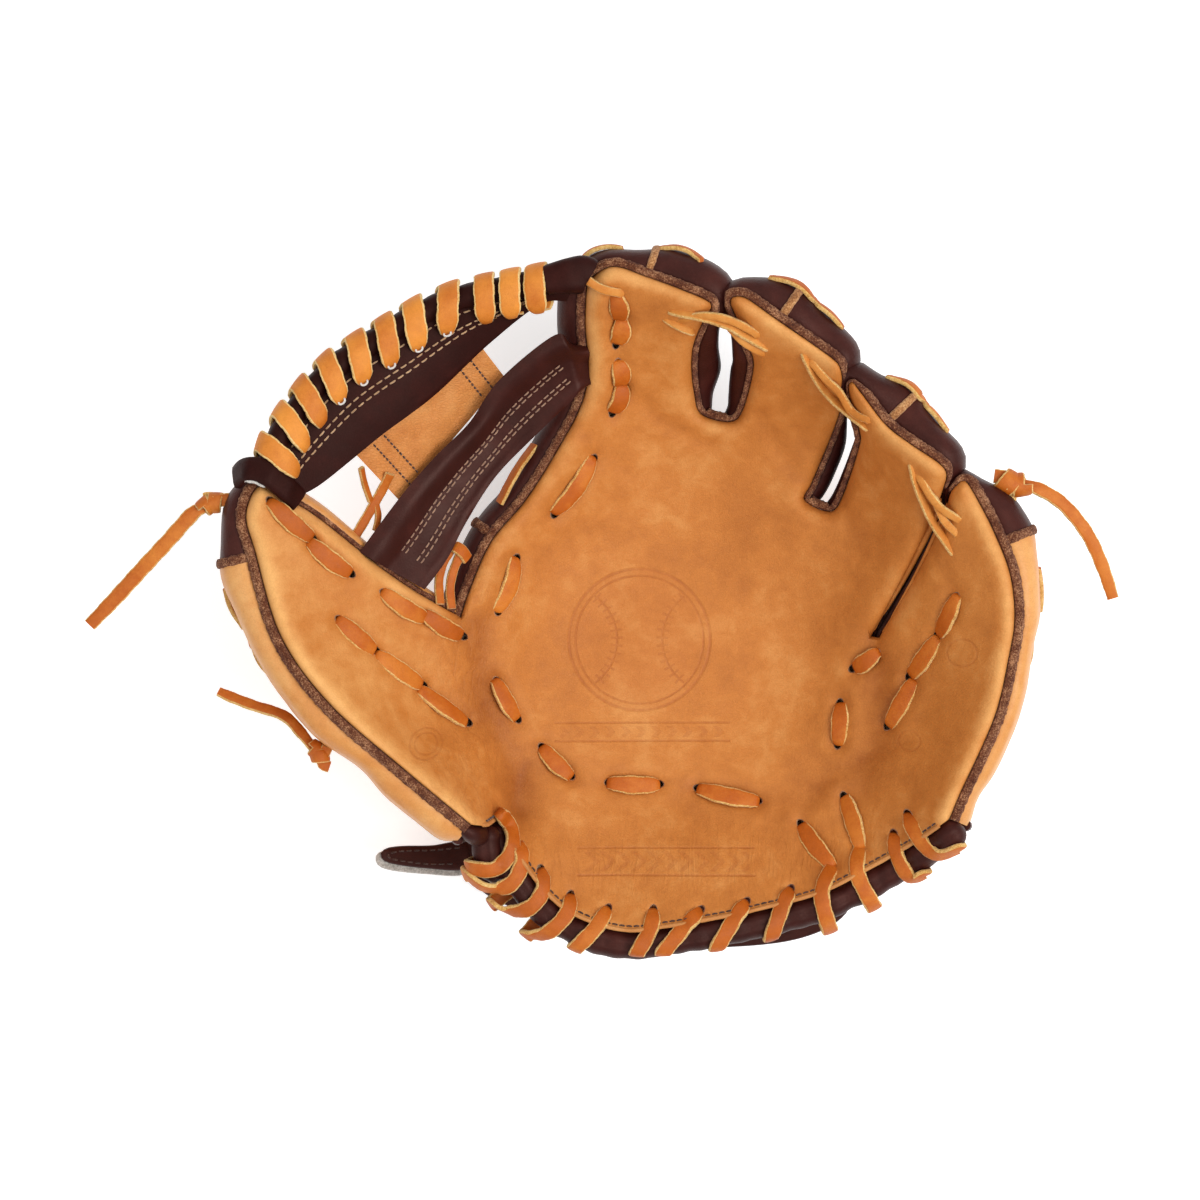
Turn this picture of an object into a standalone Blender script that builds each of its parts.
"""Five-finger baseball fielder's glove with an I-web, worn on the left hand.

The glove lies on its back with the pocket up.  Frame: +Z out of the pocket,
+X toward the little finger, +Y toward the finger tips, origin on the flat of
the hand-back panel it rests on.

Panels are drawn in plan as (u, v) outlines in millimetres and dropped onto
smooth height surfaces.  lift() turns plan points into model metres and narrows
the plan slightly with height.  Free edges run clockwise seen from +Z, so the
panel lies to the right of travel.
"""
import math

import bmesh
import bpy
import numpy as np
from mathutils import Vector
from mathutils.geometry import delaunay_2d_cdt

MM = 0.001

# ---- driving dimensions, mm ---------------------------------------------------
LEATHER_T = 3.0                 # padded front leather
PAD_TOP, PAD_T = 4.4, 4.0       # depth of the pads below the front, thickness
LINER_TOP, LINER_T = 10.2, 1.5
EDGE_R = 6.0                    # radius of the rolled panel edge
RIM_INSET = 4.5                 # row of mesh points that follows a rolled edge
WELT_T = 2.0                    # finger welt
WELT_UP, WELT_DOWN = 1.2, 4.0   # welt above and below the edge line
WELT_GAP = 0.5                  # panel edge to welt
SHELL_T = 2.0                   # back leather of a finger
STALL_DEPTH = 30.0              # front edge to back of a finger
STALL_FLOOR = STALL_DEPTH + EDGE_R   # front surface to the middle line of a back
PALM_DEPTH = 45.0               # pocket face to the hand-back panel
HEEL_SLOPE = 0.42               # extra palm depth per mm toward the heel
LACE_W, LACE_T = 4.8, 1.8
WOUND_LACE_T = 1.4              # lace wound round a roll
WOUND_LACE_LIFT = 1.7           # roll surface to the middle of its wound lace
STITCH_LIFT = 1.9               # middle of a stitch above the leather
STITCH_DEPTH = 11.5             # usual run of a lace behind the leather
SLOT_LENGTH, SLOT_SINK = 34, 4  # lace slot through the leather, middle below the face
WEB_ROLL_INSET, WEB_ROLL_DROP, WEB_ROLL_R = 4.2, 3.0, 3.6
HEEL_ROLL_OUT, HEEL_ROLL_RISE, HEEL_ROLL_R = 7.4, 0.5, 4.0
KNOT_R = 3.4
BACK_PANEL_T = 3.0
STRAP_T = 3.0
TRUE_PLAN_Z = 70.0              # height at which the outlines are true
PLAN_APEX_Z = 1270.0            # height at which they would shrink to a point
SURFACE_SLACK = 0.0002          # how loosely a surface follows its control heights
NO_LIMIT = 99.0                 # bulge room where no neighbour is near

STRAP_HINGE = (-45.0, -87.5, 12.0)   # (u, v, height)
# hinge lines of the two flexing sides: (u, v, height) at heel and at far end
THUMB_AXIS = ((-35.0, -76.0, 68.0), (-66.0, 100.0, 95.0))
PINKY_AXIS = ((49.2, -106.0, 74.0), (119.8, 38.5, 99.0))

# ---- front outlines: (u, v) ---------------------------------------------------
INDEX_WEB_EDGE = [(-48, -6), (-45, 3), (-37.5, 20), (-25.5, 34.5), (-15, 51), (-6.5, 67),
                  (-4, 80), (-5, 95), (-4.5, 107)]
INDEX_TIP = [(-3.5, 110.5), (4.5, 115), (16, 111.5), (27, 107.5), (36.5, 103.5), (38.5, 101)]
# gap 1 parts index and middle finger, gap 2 middle and ring finger
GAP1_L = [(36.5, 98), (32.5, 89), (31.5, 81), (32.5, 71), (35, 64)]
GAP1_R = [(45, 61.5), (49.5, 66), (53, 80.5), (51, 88), (47, 97.5), (45, 102.5)]
MIDDLE_TIP = [(46, 104.5), (50.5, 104), (60.5, 97), (71.5, 89.5), (80.5, 83), (83, 79.5)]
GAP2_L = [(83.7, 74), (83.5, 67.5), (79.5, 56), (73, 40.5), (70.5, 34.5)]
GAP2_R = [(79.5, 30.5), (84, 36.5), (89.5, 53), (89.5, 58.5), (86, 70.5)]
RING_TIP = [(86.5, 75.5), (90, 71.5), (98.5, 60.5), (107.5, 53.5), (116.5, 47.5), (119.5, 43.5)]
# the slit parts ring and little finger
SLIT_RING = [(118.2, 38), (115, 29), (106.5, 11.5), (93.5, -12.5)]
SLIT_PINKY = [(96.3, -13), (108.8, 7.8), (117.8, 26.5), (120.8, 36.5)]
PINKY_TIP = [(123, 39.5), (126, 41), (130.5, 34)]
PINKY_EDGE = [(136.5, 22), (141.5, 8.5), (143, -6), (141, -19.5), (136, -40.5), (124.5, -66),
              (120.5, -75.5)]
HEEL_PINKY = [(110.5, -82.5), (93, -92.5), (76, -101), (54.5, -106.8)]
HEEL_PALM = [(47, -108.5), (24.5, -112.5), (8, -114), (-9, -108.5), (-19.5, -100),
             (-29.5, -86), (-34.5, -76)]
THUMB_EDGE = [(-44.5, -77.5), (-68, -58), (-93, -36), (-110, -12.5), (-119, 17), (-122, 27.5)]
THUMB_TIP = [(-121, 34), (-118.5, 38.5), (-116, 39.5), (-110, 36)]
THUMB_WEB = [(-97.5, 28.5), (-75.5, 11), (-63, 2.5), (-50.5, -4.6)]

# ---- control points of the surfaces: (u, v, height above the rest face) --------
HEIGHTS = [
    (14, -14, 39), (-14, -14, 42), (41, -14, 39), (69, -7, 44), (-14, 14, 45), (41, 21, 41),
    (69, 14, 48), (-14, -41, 45), (28, -41, 40), (69, -34, 44), (83, -14, 52), (14, -69, 47),
    (41, -69, 47), (-14, -66, 51), (69, -66, 50), (-14, -86, 60), (28, -93, 60), (69, -90, 61),
    (0, -114, 72), (28, -112, 72), (55, -106, 71), (83, -98, 72), (-19, -101, 70),
    (-48, -6, 66), (-38, -20, 56), (-34, -45, 53), (-35, -75, 64), (-63, 2, 78), (-88, 20, 92),
    (-110, 36, 102), (-122, 27, 106), (-115, 2, 106), (-102, -24, 105), (-80, -48, 103),
    (-56, -68, 97), (-42, -79, 88), (-93, 0, 92), (-69, -21, 76), (-62, -41, 74),
    (94, -13, 62), (84, -45, 54), (90, -72, 61), (100, -88, 74), (117, 28, 92), (109, 9, 80),
    (126, 41, 103), (136, 22, 105), (142, -6, 105), (136, -41, 101), (122, -70, 95),
    (114, -28, 74), (107, -50, 71), (110, -69, 80), (0, 114, 96), (21, 110, 98), (37, 103, 99),
    (-3, 73, 70), (-4, 95, 84), (21, 93, 83), (14, 69, 62), (32, 76, 69), (39, 60, 58),
    (-20, 43, 62), (-42, 11, 64), (10, 43, 49), (50, 104, 101), (66, 93, 102), (82, 81, 102),
    (51, 86, 87), (69, 76, 82), (59, 59, 62), (80, 56, 70), (70, 33, 55), (90, 71, 102),
    (103, 57, 104), (118, 45, 105), (89, 57, 86), (89, 45, 72), (93, 24, 65), (110, 24, 85),
    (103, 5, 73)]
WEB_HEIGHTS = [
    (-122, 44, 106), (-105, 72, 99), (-77, 95, 95), (-53, 107, 94), (-22, 115, 97),
    (-6, 118, 100), (-6, 104, 95), (-103, 33, 98), (-85, 50, 91), (-66, 62, 86), (-50, 79, 84),
    (-29, 96, 88), (-84, 17, 86), (-70, 35, 78), (-57, 49, 74), (-42, 69, 74), (-15, 92, 84),
    (-61, 2, 76), (-52, 14, 71), (-42, 31, 67), (-20, 55, 68), (-3, 72, 73)]

# ---- web outlines: (u, v) -------------------------------------------------------
WEB_TOP_OUTER = [(-119, 46.5), (-113.2, 61), (-97, 81.4), (-76.6, 95.2), (-53.5, 107.3),
                 (-22, 114.2), (-10, 116.5)]
WEB_TOP_INNER = [(-11.5, 103), (-21, 101.8), (-38.6, 88), (-57.3, 70.4), (-75.6, 56.6),
                 (-95.2, 40.7), (-103.5, 36)]
WEB_LOW_UPPER = [(-81, 19.5), (-69.2, 35.2), (-57.3, 49), (-45.2, 61.1), (-34.8, 75.9),
                 (-15.5, 91)]
WEB_LOW_LOWER = [(-12, 70), (-22.5, 56.5), (-36, 42.5), (-46, 27), (-52.8, 14), (-60.5, 5.6)]
WEB_POST = [(-83, 50), (-76, 56), (-66, 64), (-58, 71), (-50, 78), (-43, 83.5), (-33, 76),
            (-42, 64), (-48, 56), (-58, 46), (-66, 38), (-70, 32)]


# ---- plan lines -----------------------------------------------------------------
def arc_lengths(line):
    steps = np.linalg.norm(np.diff(line, axis=0), axis=1)
    return np.concatenate([[0], np.cumsum(steps)])


def interp_rows(where, stations, rows):
    """Rows interpolated at one or more places along their stations."""
    return np.stack([np.interp(where, stations, rows[:, k]) for k in range(rows.shape[1])], -1)


def resample(line, count):
    """Polyline resampled to `count` evenly spaced points."""
    lengths = arc_lengths(line)
    return interp_rows(np.linspace(0, lengths[-1], count), lengths, line)


def smooth_line(points, step):
    """Catmull-Rom through the points, resampled to an even step."""
    knots = [np.array(p, float) for p in points]
    last = len(knots) - 1
    fine = []
    for i in range(last):
        before, start, end, after = (knots[min(max(i + k, 0), last)] for k in (-1, 0, 1, 2))
        for t in np.linspace(0, 1, 8, endpoint=False):
            fine.append(0.5 * (2 * start + (end - before) * t
                               + (2 * before - 5 * start + 4 * end - after) * t * t
                               + (3 * start - before - 3 * end + after) * t ** 3))
    fine.append(knots[-1])
    fine = np.array(fine)
    return resample(fine, max(int(round(arc_lengths(fine)[-1] / step)), 1) + 1)


def normals_right(line):
    """Unit normal to the right of travel."""
    t = np.gradient(line, axis=0)
    t /= np.linalg.norm(t, axis=1)[:, None]
    return np.stack([t[:, 1], -t[:, 0]], 1)


def line_distance(points, line):
    """Distance of each plan point from a polyline."""
    points, line = np.atleast_2d(points)[:, :2], np.asarray(line, float)[:, :2]
    start = line[:-1]
    run = line[1:] - start
    t = ((points[:, None] - start[None]) * run[None]).sum(2) / (run ** 2).sum(1)[None]
    t = np.clip(t, 0, 1)
    foot = start[None] + t[..., None] * run[None]
    return np.linalg.norm(points[:, None] - foot, axis=2).min(1)


def nearest(line, others):
    """Distance of each point from the nearest of the other lines."""
    distance = np.full(len(line), 1e3)
    for other in others:
        distance = np.minimum(distance, line_distance(line, other))
    return distance


def as_points(line):
    return list(map(tuple, line))


def shrink(outline, factor):
    middle = np.mean(np.array(outline, float), axis=0)
    return [tuple(middle + (np.array(p) - middle) * factor) for p in outline]


def dense(outline, step=11):
    """Closed outline with its straight sides divided at about `step`."""
    loop = np.array(outline + outline[:1], float)
    out = []
    for a, b in zip(loop[:-1], loop[1:]):
        count = max(int(round(np.linalg.norm(b - a) / step)), 1)
        out += [tuple(a + (b - a) * i / count) for i in range(count)]
    return out


def inside(point, outline):
    x, y = point
    odd = False
    for i in range(len(outline)):
        x1, y1 = outline[i - 1]
        x2, y2 = outline[i]
        if (y1 > y) != (y2 > y) and x < (x2 - x1) * (y - y1) / (y2 - y1) + x1:
            odd = not odd
    return odd


PALM_FREE = smooth_line(INDEX_WEB_EDGE + INDEX_TIP + GAP1_L + GAP1_R + MIDDLE_TIP
                        + GAP2_L + GAP2_R + RING_TIP + SLIT_RING, 6)
PINKY_FREE = smooth_line(SLIT_PINKY + PINKY_TIP + PINKY_EDGE, 6)
THUMB_FREE = smooth_line(THUMB_EDGE + THUMB_TIP + THUMB_WEB, 7)


# ---- surfaces ---------------------------------------------------------------------
def thin_plate(control):
    """Smooth height function through (u, v, height) control points."""
    control = np.array(control, float)
    xy, z = control[:, :2] / 100.0, control[:, 2]

    def kernel(a):
        square = ((a[:, None] - xy[None]) ** 2).sum(2)
        return 0.5 * square * np.log(square + 1e-12)

    bend = kernel(xy) + np.eye(len(xy)) * SURFACE_SLACK
    plane = np.hstack([np.ones((len(xy), 1)), xy])
    system = np.block([[bend, plane], [plane.T, np.zeros((3, 3))]])
    weights = np.linalg.solve(system, np.concatenate([z, np.zeros(3)]))

    def height(points):
        q = np.atleast_2d(np.asarray(points, float))[:, :2] / 100.0
        return kernel(q) @ weights[:-3] + weights[-3] + q @ weights[-2:]
    return height


front_height = thin_plate(HEIGHTS)
web_height = thin_plate(WEB_HEIGHTS)


def front_rolled(points):
    """Front surface, rolled down along the free edges."""
    inset = np.min([line_distance(points, line)
                    for line in (PALM_FREE, PINKY_FREE, THUMB_FREE)], axis=0)
    inset = np.minimum(inset, EDGE_R)
    drop = EDGE_R - np.sqrt(np.maximum(EDGE_R * EDGE_R - (EDGE_R - inset) ** 2, 0))
    return front_height(points) - drop


def edge_height(points):
    return front_height(points) - EDGE_R


def back_height(points):
    """Inner face of the hand-back panel's lower side: flat where the glove rests."""
    q = np.atleast_2d(np.asarray(points, float))
    drop = PALM_DEPTH + HEEL_SLOPE * np.clip(-45.0 - q[:, 1], 0, 60)
    return np.maximum(front_height(q) - drop, 0.0)


def strap_height(points):
    """Underside of the wrist strap, curling up to both sides."""
    q = np.atleast_2d(np.asarray(points, float))
    return 1.5 + 0.0020 * (q[:, 0] - 22.0) ** 2


def lift(u, v, z):
    """Plan point at height z to model metres; the plan narrows as it rises."""
    s = (PLAN_APEX_Z - z) / (PLAN_APEX_Z - TRUE_PLAN_Z)
    return Vector((u * s * MM, v * s * MM, z * MM))


def lift_mm(u, v, z):
    return np.array(lift(u, v, z)) / MM


# ---- scene, materials and objects ---------------------------------------------------
for old in list(bpy.data.objects):
    bpy.data.objects.remove(old, do_unlink=True)
glove = bpy.data.collections.new("fielders_glove")
cutters = bpy.data.collections.new("cutters")
bpy.context.scene.collection.children.link(glove)
bpy.context.scene.collection.children.link(cutters)
cutters.hide_render = True

# kind: (base colour, roughness)
FINISHES = {
    "tan": ((0.58, 0.27, 0.09), 0.5),
    "back_tan": ((0.52, 0.22, 0.07), 0.5),
    "dark": ((0.055, 0.025, 0.022), 0.4),
    "lace": ((0.75, 0.24, 0.05), 0.45),
    "welt": ((0.20, 0.10, 0.06), 0.8),
    "felt": ((0.75, 0.70, 0.60), 0.95),
    "liner": ((0.62, 0.40, 0.22), 0.8),
    "plastic": ((0.10, 0.10, 0.10), 0.6)}
pivots = {}


def material(name, color, roughness):
    mat = bpy.data.materials.new(name)
    mat.use_nodes = True
    inputs = mat.node_tree.nodes["Principled BSDF"].inputs
    inputs["Base Color"].default_value = (*color, 1)
    inputs["Roughness"].default_value = roughness
    inputs["Metallic"].default_value = 0.0
    return mat


def pivot(body, location):
    """Empty that a moving body turns about."""
    empty = bpy.data.objects.new("pivot_" + body, None)
    empty.location = location
    empty.hide_render = True
    glove.objects.link(empty)
    pivots[body] = empty


def add_object(name, mesh, kind, body):
    """Object with its own material, parented to the pivot of its body if it has one."""
    ob = bpy.data.objects.new(name, mesh)
    mesh.materials.append(material(name, *FINISHES[kind]))
    glove.objects.link(ob)
    if body in pivots:
        ob.parent = pivots[body]
        ob.matrix_parent_inverse.translation = -pivots[body].location
    mesh.shade_smooth()
    mesh.set_sharp_from_angle(angle=math.radians(40))
    return ob


def save(bm, mesh):
    bm.to_mesh(mesh)
    bm.free()
    return mesh


def clean(mesh, weld=1e-6, dissolve=False, wrong_way=None):
    """Weld points and make the normals consistent; turn all if `wrong_way(bm)`."""
    bm = bmesh.new()
    bm.from_mesh(mesh)
    bmesh.ops.remove_doubles(bm, verts=bm.verts, dist=weld)
    if dissolve:
        bmesh.ops.dissolve_degenerate(bm, edges=bm.edges, dist=weld)
    bmesh.ops.recalc_face_normals(bm, faces=bm.faces)
    if wrong_way and wrong_way(bm):
        bmesh.ops.reverse_faces(bm, faces=bm.faces)
    return save(bm, mesh)


def mesh_from(name, verts, faces, **options):
    mesh = bpy.data.meshes.new(name)
    mesh.from_pydata([tuple(v) for v in verts], [], faces)
    return clean(mesh, **options)


def net_faces(stations, rows, first=0):
    """Quads of a net stored station by station."""
    return [(a, a + 1, a + rows + 1, a + rows)
            for i in range(stations - 1)
            for a in range(first + i * rows, first + i * rows + rows - 1)]


def thicken(ob):
    solid = ob.modifiers.new("leather", "SOLIDIFY")
    solid.thickness = SHELL_T * MM
    solid.offset = -1


def bar(name, kind, verts, body):
    """Capped four-sided bar; `verts` holds four corners per station."""
    stations = len(verts) // 4
    faces = []
    for i in range(stations - 1):
        a = 4 * i
        for k in range(4):
            after = (k + 1) % 4
            faces.append((a + k, a + after, a + 4 + after, a + 4 + k))
    end = 4 * stations
    faces += [(0, 3, 2, 1), (end - 4, end - 3, end - 2, end - 1)]
    return add_object(name, mesh_from(name, verts, faces), kind, body)


def ribbon(name, path, normals, body, width=LACE_W, thick=LACE_T):
    """Flat lace along 3-D points in mm with the given face normals."""
    path = np.array(path, float)
    tangents = np.gradient(path, axis=0)
    tangents /= np.linalg.norm(tangents, axis=1)[:, None]
    verts = []
    for point, normal, tangent in zip(path, np.array(normals, float), tangents):
        across = np.cross(normal, tangent)
        across /= np.linalg.norm(across)
        up = np.cross(tangent, across)
        for a, b in ((-1, -1), (1, -1), (1, 1), (-1, 1)):
            verts.append(Vector(point + across * a * width / 2 + up * b * thick / 2) * MM)
    return bar(name, "lace", verts, body)


def tube(name, path, radius, body):
    """A roll of dark leather: bevelled curve made into a closed mesh."""
    curve = bpy.data.curves.new(name, "CURVE")
    curve.dimensions = "3D"
    curve.bevel_depth = radius * MM
    curve.bevel_resolution = 3
    curve.use_fill_caps = True
    spline = curve.splines.new("POLY")
    spline.points.add(len(path) - 1)
    for point, p in zip(spline.points, path):
        point.co = (*(Vector(p) * MM), 1)
    temp = bpy.data.objects.new(name + "_curve", curve)
    glove.objects.link(temp)
    depsgraph = bpy.context.evaluated_depsgraph_get()
    mesh = bpy.data.meshes.new_from_object(temp.evaluated_get(depsgraph))
    bpy.data.objects.remove(temp)
    mesh.materials.clear()
    return add_object(name, clean(mesh), "dark", body)


def spiral(name, line, turns, radius, body, per_turn=9):
    """Lace wound round a roll whose centre line is given in mm."""
    line = np.array(line, float)
    lengths = arc_lengths(line)
    tangents = np.gradient(line, axis=0)
    count = int(turns * per_turn)
    path, normals = [], []
    for i in range(count + 1):
        where = lengths[-1] * i / count
        tangent = interp_rows(where, lengths, tangents)
        tangent /= np.linalg.norm(tangent)
        side = np.cross(tangent, (0, 0, 1))
        side /= np.linalg.norm(side)
        top = np.cross(side, tangent)
        angle = 2 * math.pi * i / per_turn
        radial = side * math.cos(angle) + top * math.sin(angle)
        path.append(interp_rows(where, lengths, line) + radial * radius)
        normals.append(radial)
    return ribbon(name, path, normals, body, thick=WOUND_LACE_T)


# ---- flat panels ----------------------------------------------------------------------
def grid_points(outline, step):
    """Staggered rows of points inside an outline."""
    xs, ys = zip(*outline)
    points = []
    row = 0
    y = min(ys) + step * 0.5
    while y < max(ys):
        x = min(xs) + (0.5 if row % 2 else 0.1) * step
        while x < max(xs):
            if inside((x, y), outline):
                points.append((x, y))
            x += step
        y += step * 0.87
        row += 1
    return points


def rim_points(outline, closed, inset):
    """Row of points that follows the outline at `inset` inside it."""
    loop = np.array(outline)
    after = np.roll(loop, -1, 0)
    t = after - np.roll(loop, 1, 0)
    t /= np.linalg.norm(t, axis=1)[:, None]
    area = 0.5 * np.sum(loop[:, 0] * after[:, 1] - after[:, 0] * loop[:, 1])
    inset_loop = loop + np.stack([-t[:, 1], t[:, 0]], 1) * np.sign(area) * inset
    clear = line_distance(inset_loop, closed) > inset * 0.93
    ring = []
    for p, is_clear in zip(inset_loop, clear):
        if (is_clear and inside(p, outline)
                and all(math.hypot(p[0] - a, p[1] - b) > 2.4 for a, b in ring)):
            ring.append(tuple(p))
    return ring


def sheet(name, kind, body, outline, depth, thick, surface, step, rim=None):
    """A panel: outline filled with an even net, dropped `depth` below the
    surface (above it if negative) and extruded straight down by its thickness."""
    outline = [tuple(p) for p in outline]
    closed = np.array(outline + outline[:1])
    inner = grid_points(outline, step)
    ring = rim_points(outline, closed, rim) if rim else []
    if inner:
        margin = rim + step * 0.45 if rim else step * 0.6
        keep = line_distance(np.array(inner), closed) > margin
        inner = [p for p, kept in zip(inner, keep) if kept]
    n = len(outline)
    points = [Vector(p) for p in outline + inner + ring]
    edges = [(i, (i + 1) % n) for i in range(n)]
    flat, _, faces, *_ = delaunay_2d_cdt(points, edges, [list(range(n))], 1, 1e-4)
    plan = np.array([[v.x, v.y] for v in flat])
    bm = bmesh.new()
    verts = [bm.verts.new(lift(u, v, z)) for (u, v), z in zip(plan, surface(plan) - depth)]
    for face in faces:
        bm.faces.new([verts[i] for i in face])
    bmesh.ops.recalc_face_normals(bm, faces=bm.faces)
    if sum(f.normal.z for f in bm.faces) < 0:
        bmesh.ops.reverse_faces(bm, faces=bm.faces)
    lower = bmesh.ops.extrude_face_region(bm, geom=bm.faces[:])["geom"]
    for v in lower:
        if isinstance(v, bmesh.types.BMVert):
            below_apex = PLAN_APEX_Z - v.co.z / MM
            s = (below_apex + thick) / below_apex
            v.co = Vector((v.co.x * s, v.co.y * s, v.co.z - thick * MM))
    bmesh.ops.recalc_face_normals(bm, faces=bm.faces)
    return add_object(name, save(bm, bpy.data.meshes.new(name)), kind, body)


pivot("thumb", lift(*THUMB_AXIS[0]))
pivot("pinky", lift(*PINKY_AXIS[0]))


# ---- front leather ---------------------------------------------------------------------
def fold_u(axis, v):
    (u0, v0, _), (u1, v1, _) = axis
    return u0 + (u1 - u0) * (v - v0) / (v1 - v0)


def fold_line(axis, v_start, v_end, side):
    """Panel edge beside a hinge line, set back where it lies below the axis.
    `side` is +1 for the +X side of the hinge, -1 for the other."""
    step, least_gap, opening_per_mm = 8.0, 0.6, 0.09
    (_, va, za), (_, vb, zb) = axis
    out = []
    for v in np.linspace(v_start, v_end, max(int(abs(v_end - v_start) / step), 1) + 1):
        u = fold_u(axis, v)
        z = za + (zb - za) * (v - va) / (vb - va)
        below = max(z - float(front_height([(u, v)])[0]), 0)
        out.append((u + side * (least_gap + opening_per_mm * below / 2), v))
    return out


palm_outline = (as_points(PALM_FREE)[1:] + fold_line(PINKY_AXIS, -18, -106, -1)
                + as_points(smooth_line(HEEL_PALM, 7))[1:-1]
                + fold_line(THUMB_AXIS, -75, -4, 1))
thumb_outline = fold_line(THUMB_AXIS, -7, -76, -1) + as_points(THUMB_FREE)[:-1]
pinky_outline = (as_points(PINKY_FREE) + as_points(smooth_line(HEEL_PINKY, 7))[:-1]
                 + fold_line(PINKY_AXIS, -105.5, -20, 1))
for part, outline in (("palm", palm_outline), ("thumb", thumb_outline),
                      ("pinky", pinky_outline)):
    sheet(part + "_leather", "tan", part, outline, 0, LEATHER_T, front_rolled, 11, RIM_INSET)

# ---- padding, stays and lining -----------------------------------------------------------
PALM_PAD = [(-35, -4), (-27, 16), (-10, 38), (10, 46), (30, 50), (52, 42), (64, 22), (80, 10),
            (84, -6), (68, -40), (50, -76), (41, -98), (10, -103), (-6, -96), (-17, -82),
            (-23, -70), (-28, -40)]
INDEX_PAD = [(11, 62), (23, 66), (22, 90), (21, 97), (13, 100), (11, 80)]
MIDDLE_PAD = [(56, 54), (65, 49), (73, 63), (73, 73), (61, 86), (62, 72)]
RING_PAD = [(84, 16), (91, 12), (104, 34), (105, 42), (98, 50), (97, 40)]
THUMB_PAD = [(-50, -60), (-76, -36), (-96, -12), (-107, 12), (-106, 20), (-84, 5), (-62, -12),
             (-53, -24), (-48, -45)]
PINKY_PAD = [(117, 10), (123, 15), (129, 8), (132, -10), (127, -36), (115, -60), (107, -70),
             (82, -85), (72, -86), (78, -72), (92, -46), (106, -16)]
THUMB_STAY = [(-62, -50), (-84, -28), (-100, -6), (-106, 12), (-90, 2), (-70, -20)]
PINKY_STAY = [(122, 12), (128, 14), (131, -10), (124, -36), (112, -56), (104, -58), (114, -30),
              (118, -8)]
STAY_TOP, STAY_T = 22, 1.6
FINGER_PAD_TOP = PAD_TOP + 0.3

# name, kind, body, outline, depth below the front, thickness, mesh step
PADDING = [
    ("palm_felt_pad", "felt", "palm", dense(PALM_PAD), PAD_TOP, PAD_T, 13),
    ("palm_liner", "liner", "palm", dense(shrink(PALM_PAD, 0.96)), LINER_TOP, LINER_T, 13),
    ("index_finger_pad", "felt", "palm", dense(INDEX_PAD), FINGER_PAD_TOP, PAD_T, 10),
    ("middle_finger_pad", "felt", "palm", dense(MIDDLE_PAD), FINGER_PAD_TOP, PAD_T, 10),
    ("ring_finger_pad", "felt", "palm", dense(RING_PAD), FINGER_PAD_TOP, PAD_T, 10),
    ("thumb_heel_pad", "felt", "thumb", dense(THUMB_PAD), PAD_TOP + 1.5, PAD_T, 12),
    ("pinky_heel_pad", "felt", "pinky", dense(PINKY_PAD), PAD_TOP + 0.4, PAD_T, 12),
    ("thumb_stay", "plastic", "thumb", dense(THUMB_STAY, 12), STAY_TOP, STAY_T, 14),
    ("pinky_stay", "plastic", "pinky", dense(PINKY_STAY, 12), STAY_TOP, STAY_T, 14)]
for name, kind, body, outline, depth, thick, step in PADDING:
    sheet(name, kind, body, outline, depth, thick, front_height, step)


# ---- backs of the five stalls ---------------------------------------------------------------
# A column is (edge point, outward normal, edge height, middle point, middle height).
# Bulges are how far a section stands out of the edge: just below the seam, and lower.
def columns(edge, mids, mid_depth):
    return list(zip(edge, -normals_right(edge), edge_height(edge),
                    mids, front_height(mids) - mid_depth))


def part_way(a, b, t):
    """Column between two columns."""
    return tuple(x + (y - x) * t for x, y in zip(a, b))


def stall_section(column, bulges, room):
    """Section of a finger back from its seam round to its middle line."""
    edge, normal, edge_z, mid, mid_z = column
    seam_out, side_out = (min(bulge, room) for bulge in bulges)
    # outward, share of the way to the middle line, rise from the edge
    profile = ((seam_out, 0, -5.3), (side_out * 0.93, 0, -8), (side_out, 0, -13),
               (side_out * 0.72, 0, -19), (0, 0.14, -24), (0, 0.42, -28),
               (0, 1.0, -STALL_DEPTH))
    rows = []
    for out, share, rise in profile:
        q = edge + normal * out + (mid - edge) * share
        rows.append((q[0], q[1], (edge_z + rise) * (1 - share) + share * mid_z))
    return rows


def shell(name, kind, body, runs, bulges):
    """Back of a finger from runs of (columns, rooms), welded along the middle
    line and thickened inward."""
    verts, faces = [], []
    for cols, rooms in runs:
        sections = [stall_section(c, bulges, room) for c, room in zip(cols, rooms)]
        rows = len(sections[0])
        faces += net_faces(len(sections), rows, first=len(verts))
        verts += [lift(*q) for section in sections for q in section]
    mesh = mesh_from(name, verts, faces, weld=2e-5, dissolve=True,
                     wrong_way=lambda bm: sum(f.normal.z * f.calc_area() for f in bm.faces) > 0)
    thicken(add_object(name, mesh, kind, body))


def split_back(body, cols, first, last, rooms, bulges):
    """Dark tip piece, columns first to last, and tan lower piece, parted by a short gap."""
    low1 = cols[:first] + [part_way(cols[first - 1], cols[first], 0.62)]
    low2 = [part_way(cols[last], cols[last + 1], 0.38)] + cols[last + 1:]
    tip = slice(first, last + 1)
    shell(body + "_tip_back", "dark", body, [(cols[tip], rooms[tip])], bulges)
    shell(body + "_back", "back_tan", body,
          [(low1, rooms[:first + 1]), (low2, rooms[last:])], bulges)


def tip_line(before, tip, after, count):
    """Points round a tip, without the ends it shares with its neighbours."""
    return resample(smooth_line([before] + tip + [after], 1), count + 2)[1:-1]


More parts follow.
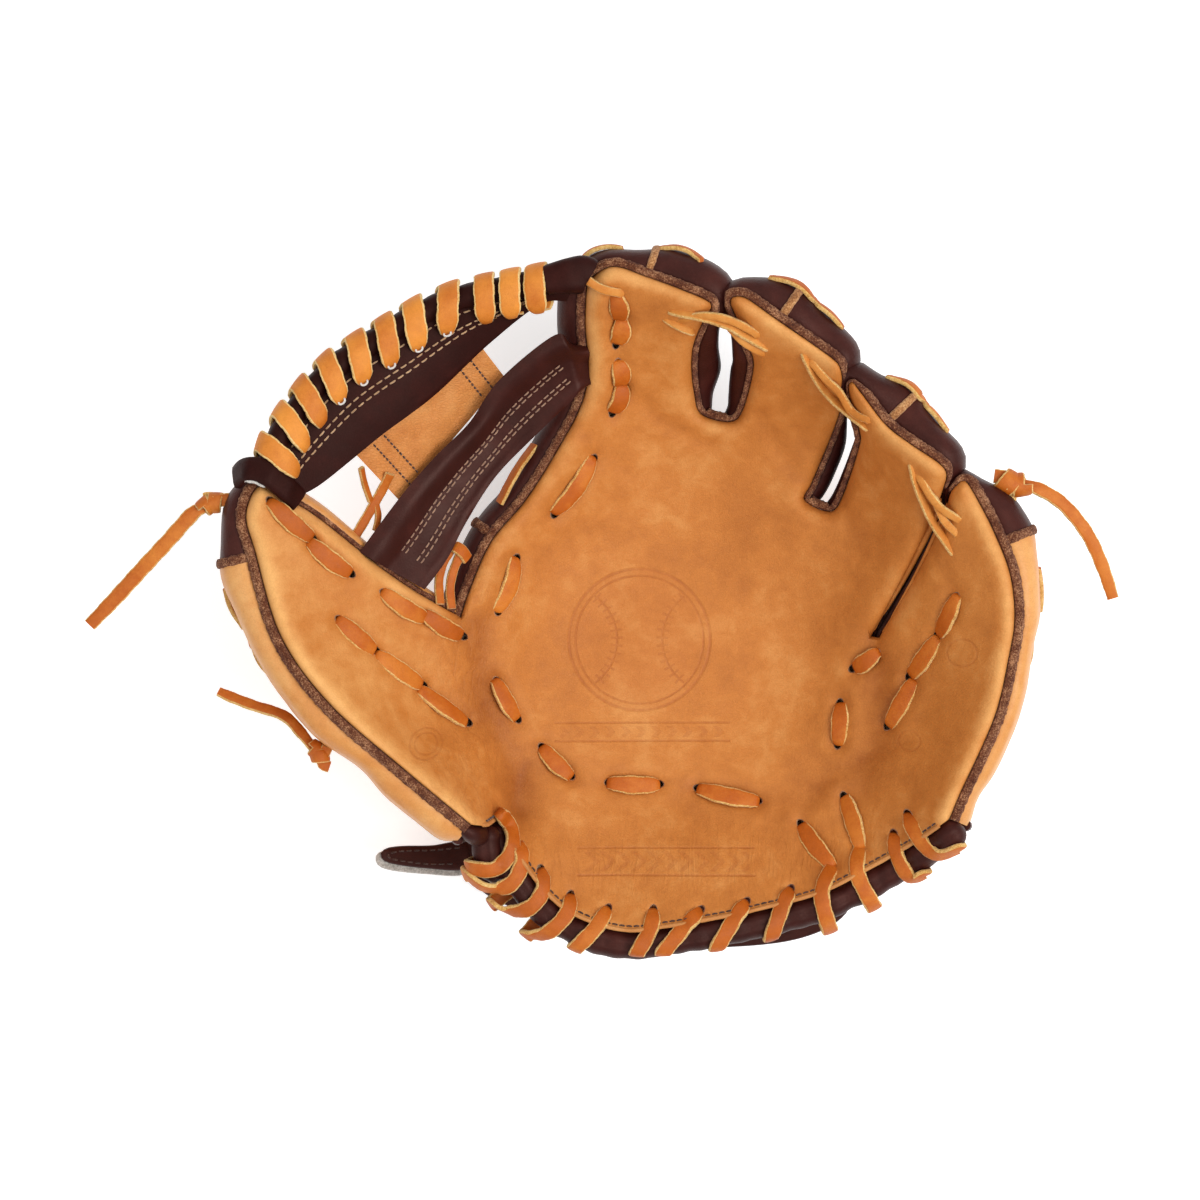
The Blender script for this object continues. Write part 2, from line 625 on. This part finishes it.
def finger_columns(left, tip, right, spine):
    """Columns up the thumb side (left), round the tip and down the far side."""
    side_count = 7
    round_tip = tip_line(left[-1], tip, right[0], 7)
    left, right = (resample(smooth_line(line, 1), side_count) for line in (left, right))
    spine = resample(np.array(spine, float), side_count)
    mids = np.vstack([spine, np.repeat(spine[-1:], len(round_tip), 0), spine[::-1]])
    return columns(np.vstack([left, round_tip, right]), mids, STALL_FLOOR)


def half_gaps(cols, neighbours):
    """Room for the bulge of each column, half the gap to the neighbours."""
    edges = [np.array([c[0] for c in group]) for group in [cols] + neighbours]
    return np.clip(nearest(edges[0], edges[1:]) / 2 - 0.35, 0.9, NO_LIMIT)


index_cols = finger_columns([(-17.5, 47)] + INDEX_WEB_EDGE[5:], INDEX_TIP,
                            GAP1_L[:-1] + [(34.2, 66)], [(9, 55), (14, 75), (16, 96)])
middle_cols = finger_columns([(46.5, 62.5)] + GAP1_R[1:], MIDDLE_TIP,
                             GAP2_L[:-1] + [(71.5, 37)], [(59, 50), (67, 68), (66, 86)])
ring_cols = finger_columns([(80.5, 31.5)] + GAP2_R[1:], RING_TIP,
                           SLIT_RING[:-1] + [(97, -6)], [(89, 13), (99, 30), (103, 46)])

SIDE = 8         # columns along one side of the little finger and thumb stalls
OUTER_TIP = 5    # columns round their tips


def pinky_columns():
    """Stall round the spine, then the outer wall down to the heel, which ends
    beside the hinge."""
    slit = resample(smooth_line([(98.5, -9.5)] + SLIT_PINKY[1:], 1), SIDE)
    tip = tip_line(SLIT_PINKY[-1], PINKY_TIP, PINKY_EDGE[0], OUTER_TIP)
    outer = resample(smooth_line(PINKY_EDGE[:4], 1), SIDE)
    wall = resample(smooth_line(PINKY_EDGE[3:], 1), 9)[1:]
    spine = resample(np.array([(102.5, -17), (114, 4), (125, 22)], float), SIDE)
    hinge = np.array([(fold_u(PINKY_AXIS, v) + 6.5, v) for v in np.linspace(-22, -80, 8)])
    mids = np.vstack([spine, np.repeat(spine[-1:], len(tip), 0), spine[::-1], hinge])
    depth = np.concatenate([np.full(2 * SIDE + OUTER_TIP, STALL_FLOOR),
                            np.linspace(STALL_FLOOR, 40, len(wall))])
    return columns(np.vstack([slit, tip, outer, wall]), mids, depth)


THUMB_WALL = 10  # columns of the thumb's outer wall


def thumb_columns():
    """Outer wall along the hinge first, then the stall round its spine."""
    wall = resample(smooth_line(THUMB_EDGE[:4], 1), THUMB_WALL + 1)[:-1]
    outer = resample(smooth_line(THUMB_EDGE[3:], 1), SIDE)
    tip = tip_line(THUMB_EDGE[-1], THUMB_TIP, THUMB_WEB[0], OUTER_TIP)
    web_side = resample(smooth_line(THUMB_WEB[:3] + [(-54, -2.2)], 1), SIDE)
    spine = resample(np.array([(-57, -8), (-80, 0), (-106, 22)], float), SIDE)
    hinge = np.array([(fold_u(THUMB_AXIS, v) - 6.5, v)
                      for v in np.linspace(-72, -16, THUMB_WALL)])
    mids = np.vstack([hinge, spine, np.repeat(spine[-1:], len(tip), 0), spine[::-1]])
    depth = np.concatenate([np.linspace(40, STALL_FLOOR, THUMB_WALL),
                            np.full(2 * SIDE + OUTER_TIP, STALL_FLOOR)])
    return columns(np.vstack([wall, outer, tip, web_side]), mids, depth)


pinky_cols = pinky_columns()
for name, cols, neighbours in (("index_back", index_cols, [middle_cols]),
                               ("middle_back", middle_cols, [index_cols, ring_cols]),
                               ("ring_back", ring_cols, [middle_cols, pinky_cols])):
    shell(name, "dark", "palm", [(cols, half_gaps(cols, neighbours))], bulges=(2.6, 5.6))
split_back("pinky", pinky_cols, SIDE - 2, SIDE + OUTER_TIP + 1,
           half_gaps(pinky_cols, [ring_cols]), bulges=(3.4, 8.0))
thumb_rooms = np.concatenate([np.full(THUMB_WALL + SIDE + OUTER_TIP, NO_LIMIT),
                              np.linspace(8, 3.4, SIDE)])
split_back("thumb", thumb_columns(), THUMB_WALL + SIDE - 4, THUMB_WALL + SIDE + OUTER_TIP + 3,
           thumb_rooms, bulges=(4.2, 10.0))


# ---- welts --------------------------------------------------------------------------------
def facing_gap(line, others):
    """Distance from each point of an edge to the edge that faces it."""
    same_stretch = 34   # points nearer than this along the line don't face each other
    lengths = arc_lengths(line)
    gap = nearest(line, others)
    for i, p in enumerate(line):
        far = np.abs(lengths - lengths[i]) > same_stretch
        if far.any():
            gap[i] = min(gap[i], np.linalg.norm(line[far] - p, axis=1).min())
    return gap


def welt(name, line, width, body, kind="welt", others=(), up=WELT_UP):
    """Raw leather strip standing in the seam outside a panel edge."""
    widths = np.clip((facing_gap(line, others) / 2 - 0.3) - WELT_GAP, 0.7, width)
    verts = []
    for p, out, w, z in zip(line, -normals_right(line), widths, edge_height(line)):
        near, far = p + out * WELT_GAP, p + out * (WELT_GAP + w)
        for (u, v), height in ((near, z + up), (far, z + up * 0.6),
                               (far, z - WELT_DOWN), (near, z - WELT_DOWN)):
            verts.append(lift(u, v, height))
    bar(name, kind, verts, body)


tip_end = int(np.argmin(np.linalg.norm(THUMB_FREE - np.array(THUMB_TIP[-1]), axis=1)))
welt("finger_welt", PALM_FREE[3:-2], WELT_T, "palm", others=[PINKY_FREE])
welt("pinky_welt", PINKY_FREE[1:], 2.8, "pinky", others=[PALM_FREE])
welt("thumb_welt", THUMB_FREE[1:tip_end + 1], 3.6, "thumb")
welt("thumb_web_binding", THUMB_FREE[tip_end + 1:-2], 1.2, "thumb", "dark", up=0.4)


# ---- index side wall -------------------------------------------------------------------------
def index_side_wall():
    """Wall hung from the web-side seam at the foot of the index finger."""
    name = "index_side_wall"
    line = smooth_line([(-43, 8.5)] + INDEX_WEB_EDGE[2:4] + [(-19.4, 44)], 6)
    profile = [(2.6, -5.0), (5.0, -9), (5.4, -16), (4, -24), (1, -30)]   # outward, rise
    verts = [lift(*(p + normal * out), z + rise)
             for p, normal, z in zip(line, -normals_right(line), edge_height(line))
             for out, rise in profile]
    middle = Vector((22 * MM, -20 * MM, 40 * MM))   # a point inside the glove

    def faces_inward(bm):
        return sum((f.calc_center_median() - middle).dot(f.normal) for f in bm.faces) < 0

    mesh = mesh_from(name, verts, net_faces(len(line), len(profile)), wrong_way=faces_inward)
    thicken(add_object(name, mesh, "dark", "palm"))


index_side_wall()

# ---- hand back and wrist strap -----------------------------------------------------------------
HAND_BACK = [(-30, 10), (-14, 30), (0, 44), (34, 52), (60, 40), (84, 14), (86, -14), (72, -44),
             (54, -74), (46, -83), (24, -86.5), (0, -85), (-14, -79), (-21, -70), (-23, -56),
             (-26, -30)]
STRAP = [(-44, -76), (-24, -86), (0, -92), (30, -94), (60, -90), (80, -82), (86, -110),
         (66, -117.5), (30, -120), (0, -117), (-24, -109), (-44, -97)]
STRAP_PATCH = [(-42, -80), (-22, -88), (-22, -106), (-42, -95)]
PATCH_TOP = 4.4   # above the underside of the strap

sheet("hand_back_panel", "back_tan", "palm", dense(HAND_BACK, 10), -BACK_PANEL_T, BACK_PANEL_T,
      back_height, 12)
sheet("wrist_strap", "dark", "palm", dense(STRAP, 8), -STRAP_T, STRAP_T, strap_height, 12)
sheet("strap_loop_patch", "felt", "palm", dense(STRAP_PATCH, 8), -PATCH_TOP, 0.8,
      strap_height, 12)


# ---- heel binding ---------------------------------------------------------------------------------
def heel_roll_path(points):
    """Centre line of the roll that stands outside the heel edge."""
    line = smooth_line(points, 9)
    return [lift_mm(*(p + out * HEEL_ROLL_OUT), z + HEEL_ROLL_RISE)
            for p, out, z in zip(line, -normals_right(line), edge_height(line))]


palm_roll = heel_roll_path([(47, -108.6)] + HEEL_PALM[1:])
pinky_roll = heel_roll_path([(120.0, -76.5)] + HEEL_PINKY[:-1] + [(55.2, -106.6)])
heel_lace_r = HEEL_ROLL_R + WOUND_LACE_LIFT
tube("heel_binding", palm_roll, HEEL_ROLL_R, "palm")
tube("heel_binding_pinky", pinky_roll, HEEL_ROLL_R, "pinky")
spiral("heel_lace", palm_roll[:-1], 7, heel_lace_r, "palm")
spiral("heel_lace_pinky", pinky_roll[1:], 5, heel_lace_r, "pinky")


# ---- web, in two halves parted at the thumb fold ---------------------------------------------------
def fold_side(point):
    """Distance in u from the thumb fold, positive toward the index finger."""
    return point[0] - fold_u(THUMB_AXIS, point[1])


def span(line, low, high, step=6):
    """Part of a smoothed line within a range of distances from the thumb fold."""
    fine = smooth_line(line, 1.0)
    side = np.array([fold_side(p) for p in fine])
    fine = fine[(side > low) & (side < high)]
    length = np.linalg.norm(np.diff(fine, axis=0), axis=1).sum()
    return resample(fine, max(int(round(length / step)), 2) + 1)


def inward(line, distance):
    return line + normals_right(line) * distance


def web_roll_path(low, high, step):
    line = inward(span(WEB_TOP_OUTER, low, high, step), WEB_ROLL_INSET)
    return [lift_mm(*p, z - WEB_ROLL_DROP) for p, z in zip(line, web_height(line))]


def web_half(side, body, low, high, top_part, inner_part, lace_low, lace_high, turns):
    """Roll, its lace, two strips and the post, on one side of the fold.
    The parts are the stretches of the top strip's two edges that are used."""
    tube("web_top_roll_" + side, web_roll_path(low, high, 6), WEB_ROLL_R, body)
    spiral("web_top_lace_" + side, web_roll_path(lace_low, lace_high, 4)[1:-1], turns,
           WEB_ROLL_R + WOUND_LACE_LIFT, body)
    # the top strip starts a lace's width inside the roll
    upper = inward(span(WEB_TOP_OUTER, low, high), 10.6)[top_part]
    inner = span(WEB_TOP_INNER, low, high)[inner_part]
    sheet("web_top_strip_" + side, "dark", body, as_points(upper) + as_points(inner),
          0.6, 2.6, web_height, 9)
    strip = as_points(span(WEB_LOW_UPPER, low, high)) + as_points(span(WEB_LOW_LOWER, low, high))
    sheet("web_lower_strip_" + side, "dark", body, strip, 0.8, 3.4, web_height, 9)
    post = [p for p in dense(WEB_POST, 4) if low < fold_side(p) < high]
    sheet("web_post_" + side, "tan", body, post, 6.0, 2.2, web_height, 9)


web_half("thumb", "thumb", -999, -1.6, slice(2, None), slice(None), -999, -4.5, turns=5)
web_half("index", "palm", 1.2, 999, slice(None, -3), slice(1, None), 4.0, 999, turns=6)

# ---- stitched laces ----------------------------------------------------------------------------------
slots = {}   # name of the panel cut: [(place, surface normal, stitch direction)]


def surface_frame(u, v, offset, surface):
    """Point above the surface by `offset` along its normal, and that normal, in mm."""
    e = 0.5
    plan = [(u, v), (u + e, v), (u, v + e)]
    a, b, c = (lift_mm(x, y, z) for (x, y), z in zip(plan, surface(plan)))
    normal = np.cross(b - a, c - a)
    normal /= np.linalg.norm(normal)
    return a + normal * offset, normal


def stitched_lace(name, body, stitches, cut, depth=STITCH_DEPTH, surface=front_rolled,
                  mid_points=3):
    """A lace that shows as stitches on the face and runs behind it between them."""
    path, normals = [], []
    for start, end in stitches:
        start, end = np.array(start, float), np.array(end, float)
        start_at, start_n = surface_frame(*start, 0, surface)
        end_at, end_n = surface_frame(*end, 0, surface)
        run = end_at - start_at
        run /= np.linalg.norm(run)
        path += [start_at - start_n * depth, start_at - start_n * depth * 0.5]
        normals += [-run, -run]
        for t in np.linspace(0, 1, mid_points + 2):
            point, normal = surface_frame(*(start + (end - start) * t), STITCH_LIFT, surface)
            path.append(point)
            # the lace leans over where it turns into its slot
            lean = -run * 0.8 if t == 0 else run * 0.8 if t == 1 else 0
            normals.append(normal + lean)
        path += [end_at - end_n * depth * 0.5, end_at - end_n * depth]
        normals += [run, run]
        for target in cut:
            slots.setdefault(target, []).extend([(start_at, start_n, run),
                                                 (end_at, end_n, run)])
    normals = [np.array(n) / np.linalg.norm(n) for n in normals]
    ribbon(name, path, normals, body)


def cut_slots(target):
    """Slots for the laces, cut with one set of boxes."""
    bm = bmesh.new()
    for place, normal, run in slots[target]:
        x = np.cross(normal, run)
        x /= np.linalg.norm(x)
        y = np.cross(normal, x)
        for v in bmesh.ops.create_cube(bm, size=1.0)["verts"]:
            q = (place + x * v.co.x * (LACE_W + 1.4) + y * v.co.y * (LACE_T + 2.4)
                 + normal * (v.co.z * SLOT_LENGTH - SLOT_SINK))
            v.co = Vector(q) * MM
    bmesh.ops.recalc_face_normals(bm, faces=bm.faces)
    name = "slots_" + target
    cutter = bpy.data.objects.new(name, save(bm, bpy.data.meshes.new(name)))
    cutter.hide_render = True
    cutter.display_type = "WIRE"
    cutters.objects.link(cutter)
    boolean = bpy.data.objects[target].modifiers.new("slots", "BOOLEAN")
    boolean.object = cutter
    boolean.operation = "DIFFERENCE"
    boolean.solver = "EXACT"
    boolean.use_self = True


PALM_FACE = ["palm_leather"]
THUMB_PADDED = ["thumb_leather", "thumb_heel_pad"]
PINKY_PADDED = ["pinky_leather", "pinky_heel_pad"]
BETWEEN_FINGERS = {"depth": 6.5, "surface": front_height, "mid_points": 6}

# name, body, stitches as (start, end), panels cut, settings
LACES = [
    ("pocket_lace", "palm",
     [((-3, 48.5), (-15, 30)), ((-29.5, 13), (-34, -2)), ((-32, -28), (-28, -41)),
      ((-20, -51), (-10.5, -61)), ((4, -63.5), (19.5, -63.5)), ((34.5, -65), (52, -69))],
     ["palm_leather", "palm_felt_pad", "palm_liner"], {"depth": 14.0}),
    ("thumb_lace", "thumb",
     [((-89.5, -7), (-78, -17.5)), ((-76, -19), (-62, -29.5)), ((-61, -31), (-47, -42))],
     THUMB_PADDED, {"depth": 10.5}),
    ("pinky_lace", "pinky",
     [((122.5, 0.5), (117, -12)), ((115.5, -14), (107, -26)), ((107.5, -28.5), (99.5, -43))],
     PINKY_PADDED, {"depth": 10.5}),
    ("index_web_lace", "palm", [((6, 104), (6, 96)), ((6, 81), (6, 71))], PALM_FACE, {}),
    ("index_middle_lace", "palm", [((27.5, 97.3), (55.5, 89.5))], PALM_FACE, BETWEEN_FINGERS),
    ("middle_ring_lace", "palm", [((75.5, 79), (94.0, 55.5))], PALM_FACE, BETWEEN_FINGERS),
    ("ring_lace", "palm", [((103, 45.5), (110.5, 40.5))], PALM_FACE, {"depth": 6.5}),
    ("pinky_tip_lace", "pinky", [((123, 31), (126.5, 21))], ["pinky_leather"], {}),
    ("heel_stitch_lace", "pinky", [((69, -77.5), (78, -88.5)), ((84, -68), (91, -83))],
     PINKY_PADDED, {}),
    ("thumb_web_lace", "thumb",
     [((-112, 31.5), (-99.5, 20)), ((-97, 18.5), (-85, 8.8)), ((-75, 1.5), (-62, -7.5))],
     THUMB_PADDED, {"depth": 10.5})]
for name, body, stitches, cut, settings in LACES:
    stitched_lace(name, body, stitches, cut, **settings)
for target in slots:
    cut_slots(target)


# ---- knots and lace tails -----------------------------------------------------------------------------
def knot(name, u, v, z, body):
    bm = bmesh.new()
    bmesh.ops.create_uvsphere(bm, u_segments=10, v_segments=6, radius=KNOT_R * MM)
    centre = lift(u, v, z)
    for vert in bm.verts:
        vert.co = Vector((vert.co.x, vert.co.y * 0.8, vert.co.z * 1.15)) + centre
    add_object(name, save(bm, bpy.data.meshes.new(name)), "lace", body)


def tail(name, points, width=LACE_W):
    """Free lace end; its pivot is at its first point."""
    path = [lift_mm(*p) for p in points]
    body = name + "_pivot"
    pivot(body, Vector(path[0]) * MM)
    ribbon(name, path, [(0.15, 0.1, 1)] * len(path), body, width)


# (u, v, height)
knot("thumb_knot", -136.2, 33.5, 90, "thumb")
tail("thumb_tail", [(-141, 30.5, 90), (-149, 22, 89), (-158, 12.5, 87), (-167, 2, 85),
                    (-176, -8.5, 84)])
knot("pinky_knot", 143, 41, 90, "pinky")
tail("pinky_tail", [(148, 39.5, 90), (158, 33.5, 88), (169, 20, 85), (174, 10, 83),
                    (177, 0, 82)])
knot("thumb_side_knot", -97, -53.2, 78, "thumb")
tail("thumb_side_tail", [(-101.5, -49.5, 77), (-107, -41.5, 76), (-119, -36, 74),
                         (-131.5, -32, 73)], width=4.0)
WEB_POST_LACE = [(-74.5, 41, 71), (-78, 35, 72), (-81, 29.5, 73)]
ribbon("web_post_lace", [lift_mm(*p) for p in WEB_POST_LACE], [(0.2, 0, 1)] * 3, "thumb",
       width=3.6)

# ---- strap tab -------------------------------------------------------------------------------------------
TAB = [(-46, -79), (-60, -80), (-72, -83), (-76, -88), (-73, -93), (-60, -96), (-46, -95.5)]
TAB_LINING = [(-48, -82), (-60, -83), (-71, -86), (-73, -90), (-60, -93.5), (-48, -93)]
TAB_BODY = "strap_tab_pivot"

pivot(TAB_BODY, lift(*STRAP_HINGE))
sheet("strap_tab", "dark", TAB_BODY, dense(TAB, 8), -STRAP_T, 2.4, strap_height, 10)
sheet("strap_tab_lining", "felt", TAB_BODY, dense(TAB_LINING, 8), 0.0, 1.2, strap_height, 10)
